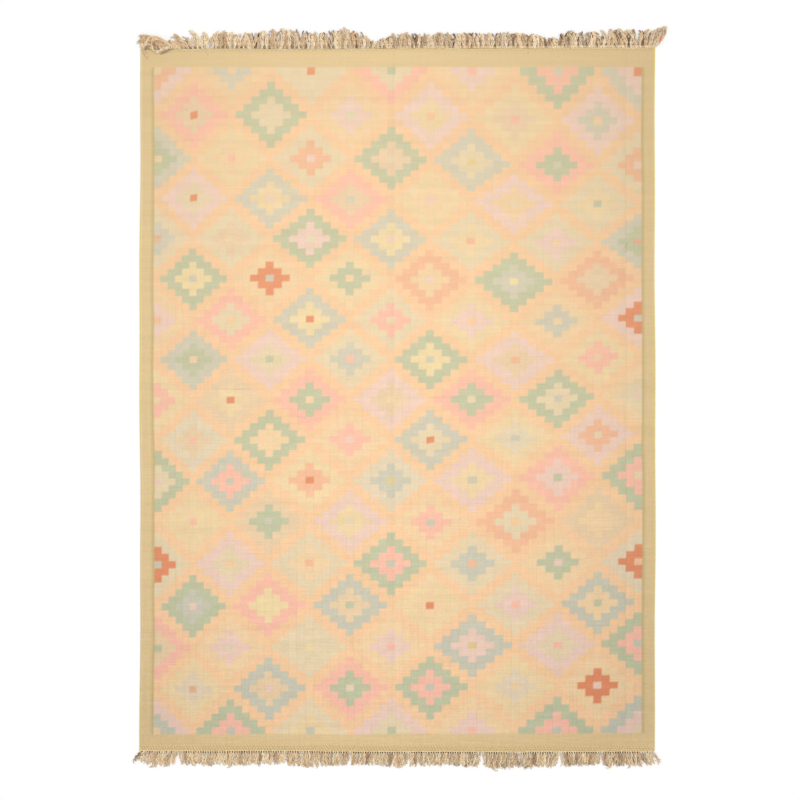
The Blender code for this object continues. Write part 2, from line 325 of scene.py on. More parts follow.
LOCK_RISE = (2.6, 1.6)  # how high a lock's middle lies at its root and at its tip, in radii of a yarn
LEAST_HEIGHT = 1.2  # and the lowest that a yarn in it lies
YARN_RADII = (0.9, 1.12)
TIP_TAPER = 0.55
LOCK_TURN = 0.8  # how far a yarn's oval turns from section to section, in radians
MAT_TURN = 0.7
STRAY_TURN = 0.6
MAT_LEAN = 14
MAT_LENGTHS = (0.5, 0.94)
MAT_LAY = {"bend": 0.5, "wave": 0.5, "hook": 1.2, "hooked_share": 0.3}
TIP_GATHER = 0.45  # a lock is this much narrower at its tip
LOCK_FLATNESS = 0.35  # and this much as high as it is wide
MAT_RADII = (0.85, 1.15)  # the thinnest and the thickest loose yarn, against their usual radius

# Places along each end where the fringe parts, and how far the tips beside each are pushed away
PARTINGS = {
    "top": ((-1066, 9), (-886, 9)),
    "bottom": (
        (-1194, 7), (-1146, 4), (-1112, 4), (-1079, 5), (-1039, 21), (-529, 7), (-454, 5), (-221, 9), (52, 9),
        (398, 18), (537, 6), (575, 9), (769, 22), (968, 12), (1163, 9), (1205, 8),
    ),
}
PARTING_REACH = 2.4  # a parting pushes locks aside this many times as far away as it pushes
PARTING_CLEAR = 6  # no loose yarn starts nearer to a parting than this and its push
REACH_OF_TIPS = 1.06  # the farthest tips, against the reach that the solids give

# Locks of the top fringe that go their own way: at the left they flop over the others and over the cloth, and
# at the right a thick one juts out. Where each starts, how high it lies, how dark its painted shade and dirt
# are, its half width, its yarns, and the corners of its way, aside and outwards.
PlacedLock = namedtuple("PlacedLock", "start raised soil rope yarns corners")
PLACED_LOCKS = [PlacedLock(*row) for row in (
    (-1193, 2, 0.1, 4, 3, ((0, 0), (-12, 4), (-14, -10), (-2, -30), (8, -54))),
    (-1172, 4, 0.85, 7, 8, ((0, 0), (-12, 3), (-24, 0), (-34, -16))),
    (-1146, 4, 0.7, 7, 8, ((0, 0), (-8, 12), (-14, 22), (-22, 34))),
    (-1062, 2, 0.8, 4, 6, ((0, 0), (-12, -5), (-36, -18), (-66, -32))),
    (-1127, 3, 0.3, 5, 7, ((0, 0), (-24, 20), (-52, 34), (-80, 36), (-107, 24))),
    (-1098, 3, 0.15, 5, 7, ((0, 0), (-26, 20), (-58, 40), (-94, 54), (-130, 58))),
    (-1080, 4, 0.1, 5, 7, ((0, 2), (-14, -2), (-36, -10), (-56, -18), (-72, -28))),
    (-1070, 5, 0.1, 5, 7, ((0, 0), (-34, 28), (-76, 50), (-108, 48), (-126, 22), (-138, -14))),
    (-1060, 5, 0.1, 5, 7, ((0, 0), (-30, 14), (-68, 38), (-104, 40), (-106, 8), (-97, -22))),
    (1196, 0, 0.3, 6, 8, ((0, 0), (2, 24), (4, 48), (10, 78))),
    (1206, 1, 0.35, 12, 18, ((0, 0), (12, 9), (24, 22), (38, 39), (49, 56), (56, 73), (60, 86), (63, 96))),
)]
STRAY_YARN = ((1238, 1692), (1243, 1700), (1246, 1708), (1248, 1716), (1250, 1726))
STRAY_YARN_COLOUR = "#E58458"
STRAY_YARN_HEIGHT = 12
STRAY_YARN_RADIUS = 4

# Cotton of the warp ends: how often each tone comes, and its colour
YARN_TONES = ((4, "#FDE9C8"), (4, "#F7DDB4"), (3, "#EBCDA4"), (2, "#DCB88E"), (1, "#D8C9AE"))
# Painted shade and dirt on the fringe's yarns: painted shadow at the roots, brown yarns under the locks,
# darker patches
UNDER_SHADE_AND_DIRT = "#7A5430"  # brown of the yarns that lie under the others: painted shade under the locks, and dirt
ROOT_HOLE_SHADE = "#20140A"  # and near black, the painted shadow in the holes between the knots
DARK_PATCH_SPACING = 30  # how far apart darker and lighter places of painted shade and dirt lie
DARKER_RIGHT = 0.5
DARKEST_SHARE = 0.7  # the most that painted shade and dirt cover of a lock
PATCH_DARKNESSES = (0.3, 1.7)  # painted shade and dirt in the lightest and in the darkest patch, against the usual
MAT_DARKNESSES = (0.6, 1.4)
LOCK_DARKNESSES = (0.6, 1.0)
LOCK_ROOT_SHADE = 0.1
ROOT_SHADE_ONSET = 7  # the root's painted shadow ends after one part in this many of a yarn

# Twined rows at each end: how far each lies in from the knot line, how far its crossings are shifted (as
# a share of a pitch), how much it strays, and the yarns of its two strands
TwinedRow = namedtuple("TwinedRow", "inset shift stray colours")
TWINED_ROWS = {
    "top": (TwinedRow(-0.5, 0.0, 3.0, (0, 0)), TwinedRow(6.5, 0.5, 1.0, (1, 1))),
    "bottom": (
        TwinedRow(-0.5, 0.0, 0.8, (0, 0)),
        TwinedRow(7, 0.0, 0.4, (1, 2)),
        TwinedRow(15, 0.33, 0.4, (1, 2)),
        TwinedRow(23, 0.67, 0.4, (1, 2)),
    ),
}
TWINE_YARNS = (
    ("pale_cotton_twine", "#F3E2B8"),
    ("buff_cotton_twine", "#F0DBAC"),
    ("dun_cotton_twine", "#DABC8A"),
)
TWINE_PITCH = 14.5
TWINE_POINTS_A_PITCH = 6
TWINE_SWING = 1.6
TWINE_RADIUS = 1.8
TWINE_HEIGHT = 3.9
TWINE_STRAY_LENGTH = 70
TWINE_INSET = 2  # from the sides of the cloth

# Photo: its size in pixels, millimetres for each, and the place that its middle shows
PHOTO_SIZE = 800
PHOTO_PIXEL = 4.74
PHOTO_MIDDLE = (6.1, -9.1)
FLOOR_HALF_SIZE = 12  # metres
FLOOR_DROP = 0.5  # so that the floor doesn't touch the rug's underside


def ease(value):
    """0 to 1 with soft ends."""
    value = min(max(value, 0.0), 1.0)
    return value * value * (3 - 2 * value)


def between(low, high, share):
    return low + (high - low) * share


def blended(first, second, share):
    """Two colours or points, mixed channel by channel."""
    return [between(a, b, share) for a, b in zip(first, second)]


def wander(side, place):
    """How far the outline stands out from straight at a place along that side."""
    return sum(w.height * math.sin(math.tau * place / w.length + w.phase) for w in WANDER[side])


def read_table(table, places, x, y):
    """The value at a place, read between the columns and the rows of a table that runs down the rug."""
    for (high, upper), (low, lower) in zip(table, table[1:]):
        if y >= low:
            break
    for n in range(len(places) - 1):
        if x <= places[n + 1]:
            break
    aside = ease((x - places[n]) / (places[n + 1] - places[n]))
    down = ease((high - y) / (high - low))
    above = between(upper[n], upper[n + 1], aside)
    return between(above, between(lower[n], lower[n + 1], aside), down)


def spread_to_sides(x, y):
    """The place across of a point of the cloth, once its two long sides wander."""
    share = x / WIDTH + 0.5
    return x + share * wander("right", y) - (1 - share) * wander("left", y)


def spread_to_ends(x, y):
    """The place along of a point of the cloth, once its two ends wander."""
    share = y / LENGTH + 0.5
    return y + share ** 6 * wander("top", x) - (1 - share) ** 6 * wander("bottom", x)


def fold_lift(fold, x, y):
    aside, along = (x, y) if fold.runs_along == "Y" else (y, x)
    off = abs(aside - fold.distance) / fold.half_width
    if off >= 1 or not fold.start <= along <= fold.end:
        return 0.0
    from_end = min(along - fold.start, fold.end - along)
    return fold.lift * math.cos(off * math.pi / 2) ** 2 * ease(from_end / SETTLING_LENGTH)


def rise_lift(rise, x, y):
    off = math.hypot((x - rise.x) / rise.reach_x, (y - rise.y) / rise.reach_y)
    return rise.lift * ease(1 - off)


def lift(x, y):
    """How high the underside of the cloth stands off the floor."""
    height = sum(fold_lift(fold, x, y) for fold in FOLDS)
    height += sum(rise_lift(rise, x, y) for rise in RISES)
    from_end = LENGTH / 2 - abs(y)
    return height * ease((from_end - FLAT_END) / SETTLING_LENGTH)


def linear_from_hex(colour):
    """A linear RGBA colour from an sRGB hex value."""
    channels = [int(colour[i:i + 2], 16) / 255 for i in (1, 3, 5)]
    linear = [c / 12.92 if c <= 0.04045 else ((c + 0.055) / 1.055) ** 2.4 for c in channels]
    return (*linear, 1.0)


def shaded(colour, factor):
    return (*(min(channel * factor, 1.0) for channel in colour[:3]), 1.0)


def add_node(tree, kind, inputs=None, **settings):
    """Adds a node with its settings, and sets or links its inputs."""
    node = tree.nodes.new(f"ShaderNode{kind}")
    for name, value in settings.items():
        setattr(node, name, value)
    for socket, value in (inputs or {}).items():
        if isinstance(value, bpy.types.NodeSocket):
            tree.links.new(value, node.inputs[socket])
        else:
            node.inputs[socket].default_value = value
    return node


def new_material(name):
    """A material with an empty Principled shader, its node tree and its shader."""
    material = bpy.data.materials.new(name)
    material.use_nodes = True
    return material, material.node_tree, material.node_tree.nodes["Principled BSDF"]


def calculated(tree, operation, *values, kind="Math"):
    return add_node(tree, kind, dict(enumerate(values)), operation=operation).outputs[0]


def ranged(tree, value, low, high, to_low, to_high):
    """A value carried from one range to another, and held at its ends."""
    inputs = {"Value": value, "From Min": low, "From Max": high, "To Min": to_low, "To Max": to_high}
    return add_node(tree, "MapRange", inputs).outputs[0]


def streaks(tree, place, kind):
    """Uneven streaks of one kind, with features of its lengths, between its two values."""
    scale = [1 / (length * MM) for length in kind.lengths]
    scaled = add_node(tree, "Mapping", {"Vector": place, "Scale": scale}).outputs[0]
    grain = add_node(tree, "TexNoise", {"Vector": scaled, "Scale": 1.0, "Detail": 2.0})
    return ranged(tree, grain.outputs["Fac"], 0.3, 0.7, kind.low, kind.high)


def multiplied(tree, first, second):
    return calculated(tree, "MULTIPLY", first, second)


def enlarged(tree, vector, factor):
    """A colour or a vector times a factor."""
    return add_node(tree, "VectorMath", {0: vector, "Scale": factor}, operation="SCALE").outputs[0]


def marked(tree, place, marks):
    """How strongly marks show at a place: each a soft oval, a little ragged at its rim."""
    ragged = add_node(tree, "TexNoise", {"Vector": place, "Scale": RIM_NOISE_SCALE, "Detail": 2.0})
    nudge = calculated(tree, "SUBTRACT", ragged.outputs["Color"], (0.5, 0.5, 0.5), kind="VectorMath")
    near = calculated(tree, "ADD", place, enlarged(tree, nudge, RAGGED_RIM * MM), kind="VectorMath")
    total = 0.0
    for mark in marks:
        middle = (Vector((mark.x, mark.y, THICKNESS)) + CLOTH_CENTRE) * MM
        oval = add_node(
            tree, "Mapping",
            {
                "Vector": near, "Location": middle, "Rotation": (0.0, 0.0, math.radians(mark.turn)),
                "Scale": (mark.half_length * MM, mark.half_width * MM, 1.0),
            },
            vector_type="TEXTURE",
        )
        ball = add_node(tree, "TexGradient", {"Vector": oval.outputs[0]}, gradient_type="QUADRATIC_SPHERE")
        total = calculated(tree, "MULTIPLY_ADD", ball.outputs["Fac"], mark.strength, total)
    return total


def centre_lightness(tree, place):
    """The cloth's lightness, which falls off from its lightest place."""
    shares = [share ** 0.5 / (half * MM) for share, half in zip(FALLOFF_SHARES, (WIDTH / 2, LENGTH / 2))]
    centre = [-offset * MM * share for offset, share in zip(LIGHTEST_PLACE, shares)]
    inputs = {"Vector": place, "Scale": (*shares, 0.0), "Location": (*centre, 0.0)}
    middle = add_node(tree, "Mapping", inputs).outputs[0]
    apart = add_node(tree, "VectorMath", {0: middle, 1: middle}, operation="DOT_PRODUCT")
    distance, lightness = FARTHEST
    return ranged(tree, apart.outputs["Value"], 0.0, distance, 1.0, lightness)


def slits(tree, place, across, down):
    """How dark the fine slit between one block and the next is: more so at the foot."""
    from_slit = calculated(tree, "PINGPONG", across, 0.5)
    slit = ranged(tree, from_slit, *SLIT_WIDTHS, 1.0, 0.0)
    depth = ranged(tree, down, 0.0, 1.0, *SLIT_DARKNESS)
    depth = multiplied(tree, depth, streaks(tree, place, SLIT_PATCHES))
    return multiplied(tree, slit, depth)


def woven_cotton():
    """Weft-faced cotton flatweave: matte, with ribs over its warps and fine streaks along its wefts."""
    material, tree, shader = new_material("weft_faced_cotton_weave")
    place = add_node(tree, "TexCoord").outputs["Object"]
    colour = add_node(tree, "Attribute", attribute_name="yarn_colour").outputs["Color"]
    woven = add_node(tree, "Attribute", attribute_name="woven_place").outputs["Vector"]
    woven = add_node(tree, "SeparateXYZ", {0: woven})
    across, down = woven.outputs["X"], woven.outputs["Y"]

    # The grain is fainter at the head, where the yarn is faded and worn smooth
    grain = 1.0
    for kind in GRAIN:
        grain = multiplied(tree, grain, streaks(tree, place, kind))
    strength = ranged(tree, down, 0.0, 1.0, GRAIN_AT_HEAD, GRAIN_AT_FOOT)
    factor = add_node(tree, "Mix", {0: strength, 2: 1.0, 3: grain}, clamp_factor=False).outputs[0]
    factor = multiplied(tree, factor, streaks(tree, place, YARN_BATCHES))
    factor = multiplied(tree, factor, centre_lightness(tree, place))
    creases = marked(tree, place, CREASES)
    # Painted shade in the short creases, and the dark slits between the blocks
    dark = calculated(tree, "MULTIPLY_ADD", creases, CREASE_SHADE, slits(tree, place, across, down))
    factor = multiplied(tree, factor, calculated(tree, "SUBTRACT", 1.0, dark))

    # Hand-dyed yarn turns a little yellower or pinker along its length
    turn = streaks(tree, place, DYE_TURNS)
    hue = add_node(tree, "Mix", {0: turn, 6: YELLOWER, 7: PINKER}, data_type="RGBA")
    dyed = calculated(
        tree, "MULTIPLY", enlarged(tree, colour, factor), hue.outputs[2], kind="VectorMath"
    )
    inputs = {0: marked(tree, place, STAINS), 6: dyed, 7: linear_from_hex(STAIN_BROWN)}
    stained = add_node(tree, "Mix", inputs, data_type="RGBA")
    tree.links.new(stained.outputs[2], shader.inputs["Base Color"])

    ribs = add_node(
        tree, "TexWave",
        {"Vector": place, "Scale": WAVE_PITCH / (RIB_PITCH * MM), "Distortion": RIB_DISTORTION},
        bands_direction="X",
    )
    relief = calculated(tree, "ADD", ribs.outputs["Fac"], streaks(tree, place, WEFTS))
    relief = calculated(tree, "MULTIPLY_ADD", creases, CREASE_RELIEF, relief)
    bump = add_node(tree, "Bump", {"Height": relief, "Strength": 0.5, "Distance": 0.4 * MM})
    tree.links.new(bump.outputs[0], shader.inputs["Normal"])
    shader.inputs["Roughness"].default_value = 0.92
    shader.inputs["Specular IOR Level"].default_value = 0.2
    shader.inputs["Sheen Weight"].default_value = 0.06
    return material


def plied_cotton(name, colour=None):
    """Two-ply cotton warp yarn, raw and unwashed: dull, warm and a little hairy."""
    material, tree, shader = new_material(name)
    place = add_node(tree, "TexCoord").outputs["Object"]
    if colour is None:
        base = add_node(tree, "Attribute", attribute_name="yarn_colour").outputs["Color"]
    else:
        base = add_node(tree, "RGB").outputs[0]
        base.default_value = linear_from_hex(colour)
    tree.links.new(enlarged(tree, base, streaks(tree, place, GRIME)), shader.inputs["Base Color"])
    fibres = streaks(tree, place, FIBRES)
    bump = add_node(tree, "Bump", {"Height": fibres, "Strength": 0.4, "Distance": 0.3 * MM})
    tree.links.new(bump.outputs[0], shader.inputs["Normal"])
    shader.inputs["Roughness"].default_value = 0.9
    shader.inputs["Specular IOR Level"].default_value = 0.25
    shader.inputs["Sheen Weight"].default_value = 0.1
    return material


def linked(name, data):
    """A new object in the scene."""
    made = bpy.data.objects.new(name, data)
    bpy.context.scene.collection.objects.link(made)
    return made


def add_piece(name, mesh, materials, slot, *nodes):
    """A finished piece of the rug, in the row's frame, which stands for the named solids."""
    for material in materials:
        mesh.materials.append(material)
    piece = linked(name, mesh)
    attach(piece, "root")
    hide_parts(*nodes)
    return piece


def finished_mesh(name, bm):
    """The mesh of a piece that was modelled in millimetres about the middle of the cloth."""
    bmesh.ops.translate(bm, verts=bm.verts, vec=CLOTH_CENTRE)
    bmesh.ops.scale(bm, verts=bm.verts, vec=(MM, MM, MM))
    mesh = bpy.data.meshes.new(name)
    bm.to_mesh(mesh)
    bm.free()
    mesh.shade_smooth()
    mesh.set_sharp_from_angle(angle=math.radians(SHARP_EDGE))
    return mesh


def block_middles(medallions, blocks):
    """Middles of the blocks, even from one medallion's middle to the next."""
    middles = [between(a, b, n / blocks) for a, b in zip(medallions, medallions[1:]) for n in range(blocks)]
    return [*middles, medallions[-1]]


def block_edges(middles):
    inner = [(a + b) / 2 for a, b in zip(middles, middles[1:])]
    return [2 * middles[0] - inner[0], *inner, 2 * middles[-1] - inner[-1]]


def medallion_rows():
    last = UPPER_ROWS[-1]
    return [*UPPER_ROWS, *(last - LOWER_ROW_PITCH * n for n in range(1, LOWER_ROW_COUNT + 1))]


COLUMN_EDGES = block_edges(block_middles(MEDALLION_COLUMNS, BLOCKS_ACROSS))
ROW_EDGES = sorted(block_edges(block_middles(medallion_rows(), BLOCKS_ALONG)))


def grid_lines(edges, half_size, rim, runs_along):
    """Where the cloth's grid lines lie: at its rims, on both sides of each edge of a block, over folds."""
    lines = [edge + side * SOFT_EDGE for edge in edges for side in (-1, 1)]
    for start, end in zip(edges, edges[1:]):
        lines += [between(start, end, n / CELLS_A_BLOCK) for n in range(1, CELLS_A_BLOCK)]
    for sign, edge in ((-1, edges[0] - SOFT_EDGE), (1, edges[-1] + SOFT_EDGE)):
        rims = [sign * (half_size - inset) for inset in rim]
        cells = round(abs(edge - rims[-1]) / BORDER_CELL)
        lines += rims + [between(rims[-1], edge, n / cells) for n in range(1, cells)]
    for fold in FOLDS:
        if fold.runs_along == runs_along:
            wanted = [fold.distance + share * fold.half_width for share in FOLD_LINE_SHARES]
            lines += [line for line in wanted if min(abs(line - other) for other in lines) > LEAST_CELL]
    return sorted(lines)


def grid_on(xs, ys):
    """A flat grid whose lines lie at the given places."""
    bm = bmesh.new()
    bmesh.ops.create_grid(bm, x_segments=len(xs) - 1, y_segments=len(ys) - 1, size=0.5)
    for vert in bm.verts:
        column = round((vert.co.x + 0.5) * (len(xs) - 1))
        row = round((vert.co.y + 0.5) * (len(ys) - 1))
        vert.co = Vector((xs[column], ys[row], 0.0))
    return bm


def medallion_yarn(column, row):
    """The yarn of a block of the field, counted from its left and from its top."""
    near_column, near_row = round(column / BLOCKS_ACROSS), round(row / BLOCKS_ALONG)
    for c in range(near_column - 1, near_column + 2):
        for r in range(near_row - 1, near_row + 2):
            steps = abs(column - BLOCKS_ACROSS * c) + abs(row - BLOCKS_ALONG * r)
            in_field = 0 <= c < len(MEDALLION_COLUMNS) and 0 <= r < len(YARN_CHART)
            if in_field and (c + r) % 2 == 0 and steps <= OUTER_STEPS:
                outer, inner, eye = YARN_CHART[r].split()[c // 2]
                return eye if steps == 0 else inner if steps <= INNER_STEPS else outer
    return "A"


def yarn_at(x, y):
    """The yarn that shows at a place on the cloth, and the number of its block."""
    if not COLUMN_EDGES[0] < x < COLUMN_EDGES[-1] or not ROW_EDGES[0] < y < ROW_EDGES[-1]:
        inset = WIDTH / 2 - abs(x)
        for reach, yarn in SELVEDGE_YARNS:
            if inset < reach:
                return yarn, 0
        if LENGTH / 2 - abs(y) < END_BAND_DEPTH:
            return "end band", 0
        beside = min(abs(x - COLUMN_EDGES[0]), abs(x - COLUMN_EDGES[-1])) < FIELD_RIM
        return "field rim" if beside and ROW_EDGES[0] < y < ROW_EDGES[-1] else "border", 0
    column = bisect(COLUMN_EDGES, x) - 1
    row = len(ROW_EDGES) - 1 - bisect(ROW_EDGES, y)
    return medallion_yarn(column, row), row * len(COLUMN_EDGES) + column


def in_blocks(edges, place):
    """A place counted in blocks, with a whole number at each edge."""
    n = bisect(edges, place) - 1
    return n + (place - edges[n]) / (edges[n + 1] - edges[n])


def fold_shade_and_dirt(x, y):
    """How much the painted shade and dirt along its folds darken the cloth."""
    lines = [abs((x if fold.runs_along == "Y" else y) - fold.distance) / fold.half_width for fold in FOLDS]
    return 1 - FOLD_SHADE_AND_DIRT * max(0.0, 1 - min(lines) * FOLD_SHADE_SHARPNESS)


def paint_blocks(bm):
    """Gives each corner of the flat grid its yarn's colour, its place across in blocks and its share down."""
    rng = random.Random(DYE_SEED)
    dyes = [rng.uniform(1 - DYE_SPREAD, 1 + DYE_SPREAD) for _ in range(len(COLUMN_EDGES) * len(ROW_EDGES))]
    colours = {yarn: [linear_from_hex(colour) for colour in pair] for yarn, pair in YARNS.items()}
    paint = bm.verts.layers.float_color.new("yarn_colour")
    place = bm.verts.layers.float_vector.new("woven_place")
    for vert in bm.verts:
        x, y = vert.co.x, vert.co.y
        yarn, block = yarn_at(x, y)
        down = 0.5 - y / LENGTH
        # The yarn's colour also carries the painted shade and dirt along the folds
        vert[paint] = shaded(blended(*colours[yarn], down), dyes[block] * fold_shade_and_dirt(x, y))
        is_in_field = len(yarn) == 1
        vert[place] = (in_blocks(COLUMN_EDGES, x) if is_in_field else 0.5, down, 0.0)


def selvedge_height(inset):
    for (near, low), (far, high) in zip(SELVEDGE, SELVEDGE[1:]):
        if inset <= far:
            return between(low, high, (inset - near) / (far - near))
    return THICKNESS


def hand_woven(x, y):
    """How far uneven weaving has moved a point of the pattern: nothing at the cloth's own outline."""
    inset = min(WIDTH / 2 - abs(x) - STRAIGHT_RIM, LENGTH / 2 - abs(y) - END_BAND_DEPTH)
    inside = ease(inset / STRAIGHT_FADE)
    place = Vector((x, y, 0.0))
    drift = noise.noise_vector(place / HAND_DRIFT[1]) * HAND_DRIFT[0]
    jitter = noise.noise_vector(place / HAND_JITTER[1]) * HAND_JITTER[0]
    leaned = read_table(LEAN, LEAN_PLACES, x, y)
    beaten = read_table(BEAT, BEAT_PLACES, x, y)
    for skew in SKEWS:
        near = ease(SKEW_END - math.hypot(x - skew.x, y - skew.y) / skew.reach)
        beaten -= skew.slope * (x - skew.x) * near
    return (drift + jitter + Vector((leaned, -beaten, 0.0))) * inside


def unwrap_for_maps(bm):
    """Lays the cloth out on one square: most of it for the top, a strip for the underside."""
    uv = bm.loops.layers.uv.new("OFBake")
    for face in bm.faces:
        start, wide = UNDERSIDE_STRIP if face.normal.z < -0.5 else TOP_STRIP
        is_wall = abs(face.normal.z) <= 0.5
        for loop in face.loops:
            x, y, z = loop.vert.co
            u = MAP_MARGIN + (1 - 2 * MAP_MARGIN) * (y / LENGTH + 0.5)
            v = start + wide * (x / WIDTH + 0.5)
            if is_wall and z < THICKNESS / 3:
                u += WALL_SHIFT * face.normal.y
                v += WALL_SHIFT * face.normal.x
            loop[uv].uv = (u, v)


def build_cloth(material):
    """The woven cloth, a closed sheet with a fine top and a plainer underside."""
    xs = grid_lines(COLUMN_EDGES, WIDTH / 2, [inset for inset, _ in SELVEDGE], "Y")
    ys = grid_lines(ROW_EDGES, LENGTH / 2, END_RIM, "X")
    bm = grid_on(xs, ys)
    paint_blocks(bm)
    lower = list(bm.faces)
    raised = bmesh.ops.extrude_face_region(bm, geom=lower)["geom"]
    upper = {item for item in raised if isinstance(item, bmesh.types.BMVert)}
    sides = (-SOFT_EDGE, SOFT_EDGE)
    keep_x = {-WIDTH / 2, WIDTH / 2} | {round(edge + side, 3) for edge in COLUMN_EDGES for side in sides}
    keep_y = {-LENGTH / 2, LENGTH / 2} | {round(edge + side, 3) for edge in ROW_EDGES for side in sides}
    spare = []
    for edge in bm.edges:
        a, b = edge.verts
        if a in upper or b in upper:
            continue
        on_column = round(a.co.x, 3) == round(b.co.x, 3) and round(a.co.x, 3) in keep_x
        on_row = round(a.co.y, 3) == round(b.co.y, 3) and round(a.co.y, 3) in keep_y
        if not on_column and not on_row:
            spare.append(edge)
    bmesh.ops.dissolve_edges(bm, edges=spare, use_verts=True)
    for vert in bm.verts:
        x, y = vert.co.x, vert.co.y
        moved = hand_woven(x, y)
        z = lift(x + moved.x, y + moved.y)
        if vert in upper:
            z += selvedge_height(WIDTH / 2 - abs(x))
            z += noise.noise(Vector((x, y, 0.0)) / COCKLE[1]) * COCKLE[0]
        vert.co = Vector((spread_to_sides(x, y) + moved.x, spread_to_ends(x, y) + moved.y, z))
    bmesh.ops.recalc_face_normals(bm, faces=bm.faces)
    bm.normal_update()
    unwrap_for_maps(bm)
    return add_piece("woven_rug", finished_mesh("woven_rug", bm), [material], "woven_field", "rug_cloth")


def stretch_at(side, across):
    """Reach and lean of the fringe at a place across, read between the rows of its table."""
    rows = FRINGES[side]
    for left, right in zip(rows, rows[1:]):
        if across <= right[0]:
            break
    return blended(left[1:], right[1:], ease((across - left[0]) / (right[0] - left[0])))


def lock_places(count):
    first = -WIDTH / 2 + END_LOCK_INSET
    pitch = (WIDTH - 2 * END_LOCK_INSET) / (count - 1)
    return [first + pitch * n for n in range(count)]


def parting_push(side, across):
    return sum(
        math.copysign(push, across - place) * math.exp(-abs(across - place) / (push * PARTING_REACH))
        for place, push in PARTINGS[side]
    )


def gathered(places, style, rng):
    """Neighbouring locks lean together in small groups: how far each leans, and its share of the reach."""
    leans = []
    while len(leans) < len(places):
        group = places[len(leans):len(leans) + rng.choice(style.groups)]
        middle = (group[0] + group[-1]) / 2 + rng.gauss(0, GROUP_STRAY)
        share = rng.uniform(1 - style.ragged, 1.0)
        for place in group:
            lean = (middle - place) * style.pull + rng.gauss(0, style.cross)
            leans.append((lean, share * rng.uniform(*LOCK_LENGTHS)))
    return leans


def lock_route(side, across, lean, share_of_reach, style, rng):
    """The middle line of a lock on the floor, seen from its knot: aside and outwards."""
    reach, common_lean = stretch_at(side, across)
    reach = (reach * REACH_OF_TIPS - KNOT_REACH) * share_of_reach
    heading = math.atan2(common_lean + lean + parting_push(side, across), reach)
    bend = rng.gauss(0, style.bend)
    wave = rng.uniform(*STRENGTHS) * style.wave
    phase = rng.uniform(0, math.tau)
    turns = rng.uniform(*WAVE_TURNS)
    hook = rng.choice((-1, 1)) * rng.uniform(*STRENGTHS) * style.hook
    hook *= rng.random() < style.hooked_share
    aside, out = 0.0, 0.0
    points = [(0.0, 0.0)]
    for n in range(1, ROUTE_STATIONS):
        share = n / (ROUTE_STATIONS - 1)
        hooked = max(0.0, (share - HOOK_START) / (1 - HOOK_START)) ** HOOK_SHARPNESS
        angle = heading + bend * (share - BEND_PIVOT) + hook * hooked
        angle += wave * math.sin(math.tau * turns * share + phase) * min(1.0, share * WAVE_ONSET)
        aside += math.sin(angle)
        out += math.cos(angle)
        points.append((aside, out))
    farthest = max(LEAST_SPREAD * ROUTE_STATIONS, *(out for _, out in points))
    return [(aside * reach / farthest, out * reach / farthest) for aside, out in points]


def point_along(points, share):
    """A point on a line of evenly spaced points."""
    place = min(share, ALMOST_ALL) * (len(points) - 1)
    n = int(place)
    return blended(points[n], points[n + 1], place - n)


def side_step(points, share):
    """Unit vector to the right of a line on the floor."""
    ahead = point_along(points, min(share + STEP_SHARE, 1.0))
    behind = point_along(points, max(share - STEP_SHARE, 0.0))
    along = Vector((ahead[0] - behind[0], ahead[1] - behind[1], 0.0)).normalized()
    return Vector((along.y, -along.x, 0.0))


def kinks(style, rng):
    """How a yarn's own kinks move it aside along its length."""
    turns = rng.uniform(*KINK_TURNS)
    phase = rng.uniform(0, math.tau)
    size = style.kink * rng.uniform(*KINK_SIZES)
    return lambda share: size * math.sin(math.tau * turns * share + phase) * min(1.0, share * KINK_ONSET)


def section_shares():
    """How far along its lock each section of a yarn lies: the second one ends its neck."""
    return [0.0, *(between(NECK_SHARE, 1.0, n / (YARN_SECTIONS - 2)) for n in range(YARN_SECTIONS - 1))]


def lock_yarn(lock, number, style, rng):
    """The middle line of a yarn that winds along its lock and strays from it towards the tip."""
    phase = math.tau * number / style.over + rng.uniform(*YARN_PHASES)
    twist = math.tau * rng.uniform(*YARN_TWISTS)
    length = rng.uniform(style.shortest, 1.0)
    stray = rng.gauss(0, style.flare)
    kink = kinks(style, rng)
    route = []
    for share in section_shares():
        x, y = point_along(lock, share * length)
        radius = between(style.neck, style.rope, ease(share * SWELL_ONSET))
        radius *= 1 - TIP_GATHER * share ** TIP_SHARPNESS
        angle = phase + twist * share
        off = radius * math.cos(angle) + stray * share ** FLARE_SHARPNESS + kink(share)
        high = style.yarn * between(*LOCK_RISE, share ** 2) + LOCK_FLATNESS * radius * math.sin(angle)
        high = max(style.yarn * LEAST_HEIGHT, high)
        route.append(Vector((x, y, high)) + side_step(lock, share * length) * off)
    return route


def mat_yarn(lock, style, rng):
    """The middle line of a yarn that lies on the floor, under the locks."""
    kink = kinks(style, rng)
    height = style.yarn * style.mat_width * MAT_RADII[1]
    route = []
    for share in section_shares():
        x, y = point_along(lock, share)
        route.append(Vector((x, y, height)) + side_step(lock, share) * kink(share))
    return route


def start_yarns(bm, count):
    """A small flat polygon for the root of each yarn, numbered on a layer that its faces keep."""
    number = bm.faces.layers.int.new("yarn_number")
    for n in range(count):
        bmesh.ops.create_circle(bm, cap_ends=True, segments=YARN_SIDES, radius=1.0)
        bm.faces.ensure_lookup_table()
        bm.faces[-1][number] = n
    return number


UPRIGHT = Vector((0, 0, 1))


def place_section(face, middle, along, radius, turn, paint, colour):
    """Moves the corners of a yarn's end face to its next section, an oval that turns with the plies."""
    aside = along.cross(UPRIGHT).normalized()
    over = aside.cross(along).normalized()
    for n, vert in enumerate(face.verts):
        angle = math.tau * n / YARN_SIDES
        wide, high = math.cos(angle) * radius, math.sin(angle) * radius * YARN_FLATNESS
        across = wide * math.cos(turn) - high * math.sin(turn)
        upwards = wide * math.sin(turn) + high * math.cos(turn)
        vert.co = middle + aside * across + over * upwards
        vert[paint] = colour


